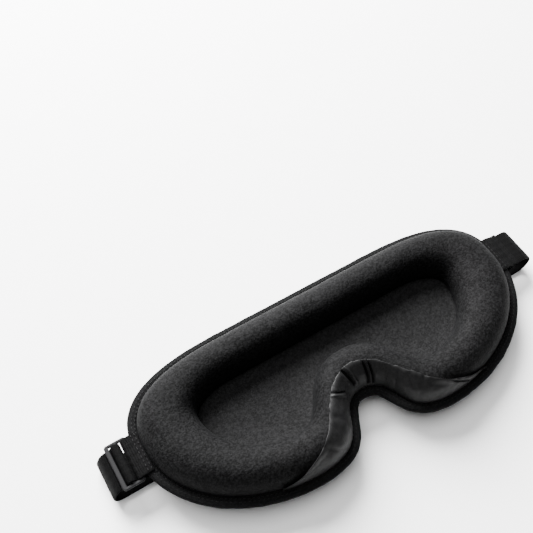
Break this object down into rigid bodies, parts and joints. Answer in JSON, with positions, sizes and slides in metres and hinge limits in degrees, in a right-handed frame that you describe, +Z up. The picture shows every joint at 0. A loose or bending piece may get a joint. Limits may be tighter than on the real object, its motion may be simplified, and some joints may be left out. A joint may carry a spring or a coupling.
{
  "type": "sleep eye mask",
  "caption": "Padded contoured eye mask with a cupped eye cavity, nose flap, bound edge and adjustable elastic head strap.",
  "frame": {"origin": "middle of the footprint, on the surface the mask lies on", "axes": "+X along the width, from the adjuster end to the sewn strap end; +Y towards the forehead edge; +Z up, out of the skin side"},
  "size_m": [0.276, 0.1016, 0.0334],
  "materials": {
    "front_knit": "fine matte knit",
    "lining_knit": "fine matte knit",
    "foam": "soft closed-cell foam",
    "ring_knit": "fine brushed knit over foam",
    "binding_tape": "woven tape",
    "thread": "twisted thread",
    "flap_satin": "soft satin weave",
    "webbing": "ribbed webbing",
    "elastic": "fine ribbed elastic",
    "plastic": "moulded, soft gloss"
  },
  "bodies": {
    "left_half": {"bridge_wedge_forehead": "foam", "bridge_wedge_nose": "foam", "cavity_lining_left": "lining_knit", "edge_binding_left": "binding_tape", "front_cover_left": "front_knit", "front_foam_left": "foam", "front_thread_left": "thread", "inner_thread_left": "thread", "nose_flap_bridge_left": "flap_satin", "nose_flap_seam_left": "flap_satin", "nose_flap_tail_left": "flap_satin", "outer_thread_left": "thread", "ring_cover_left": "ring_knit", "ring_foam_left": "foam", "strap_under_left": "elastic", "tab_left": "webbing", "tab_stitching_left": "thread"},
    "right_half": {"cavity_lining_right": "lining_knit", "edge_binding_right": "binding_tape", "front_cover_right": "front_knit", "front_foam_right": "foam", "front_thread_right": "thread", "inner_thread_right": "thread", "nose_flap_bridge_right": "flap_satin", "nose_flap_seam_right": "flap_satin", "nose_flap_tail_right": "flap_satin", "outer_thread_right": "thread", "ring_cover_right": "ring_knit", "ring_foam_right": "foam", "strap_anchor_right": "elastic", "strap_under_right": "elastic", "tab_lower_right": "webbing", "tab_stitching_right": "thread", "tab_upper_right": "webbing"},
    "nose_flap_left": {"nose_flap_hem_left": "flap_satin", "nose_flap_wing_left": "flap_satin"},
    "nose_flap_right": {"nose_flap_hem_right": "flap_satin", "nose_flap_wing_right": "flap_satin"},
    "adjuster": {"adjuster_left": "plastic", "strap_weave_left": "elastic"},
    "strap_tail": {"strap_tail_hem_left": "elastic", "strap_tail_left": "elastic"},
    "strap_loop_left": {"strap_loop_left": "elastic"},
    "strap_loop_right": {"strap_loop_right": "elastic"}
  },
  "joints": [
    {"name": "bridge_flex", "type": "hinge", "parent": "left_half", "child": "right_half", "pos_m": [0, 0, 0.0156], "axis": [0, -1, 0], "range_deg": [0, 20], "stiffness_Nm_per_rad": 0.05, "deforming": ["bridge_wedge_forehead", "bridge_wedge_nose"]},
    {"name": "nose_flap_left_lift", "type": "hinge", "parent": "left_half", "child": "nose_flap_left", "pos_m": [-0.01909, -0.03102, 0.0183], "axis": [0.5305, 0.8477, 0], "range_deg": [0, 35], "stiffness_Nm_per_rad": 0.0001},
    {"name": "nose_flap_right_lift", "type": "hinge", "parent": "right_half", "child": "nose_flap_right", "pos_m": [0.01909, -0.03102, 0.0183], "axis": [0.5305, -0.8477, 0], "range_deg": [0, 35], "stiffness_Nm_per_rad": 0.0001},
    {"name": "adjuster_pivot", "type": "hinge", "parent": "left_half", "child": "adjuster", "pos_m": [-0.1204, 0.0105, 0.0156], "axis": [0, 1, 0], "range_deg": [-10, 10], "stiffness_Nm_per_rad": 0.0003},
    {"name": "strap_tail_slide", "type": "slide", "parent": "adjuster", "child": "strap_tail", "axis": [1, 0, 0], "range_m": [0, 0.007]},
    {"name": "strap_stretch_left", "type": "slide", "parent": "left_half", "child": "strap_loop_left", "axis": [-1, 0, 0], "range_m": [0, 0.025], "stiffness_N_per_m": 10},
    {"name": "strap_stretch_right", "type": "slide", "parent": "right_half", "child": "strap_loop_right", "axis": [1, 0, 0], "range_m": [0, 0.025], "stiffness_N_per_m": 10}
  ]
}
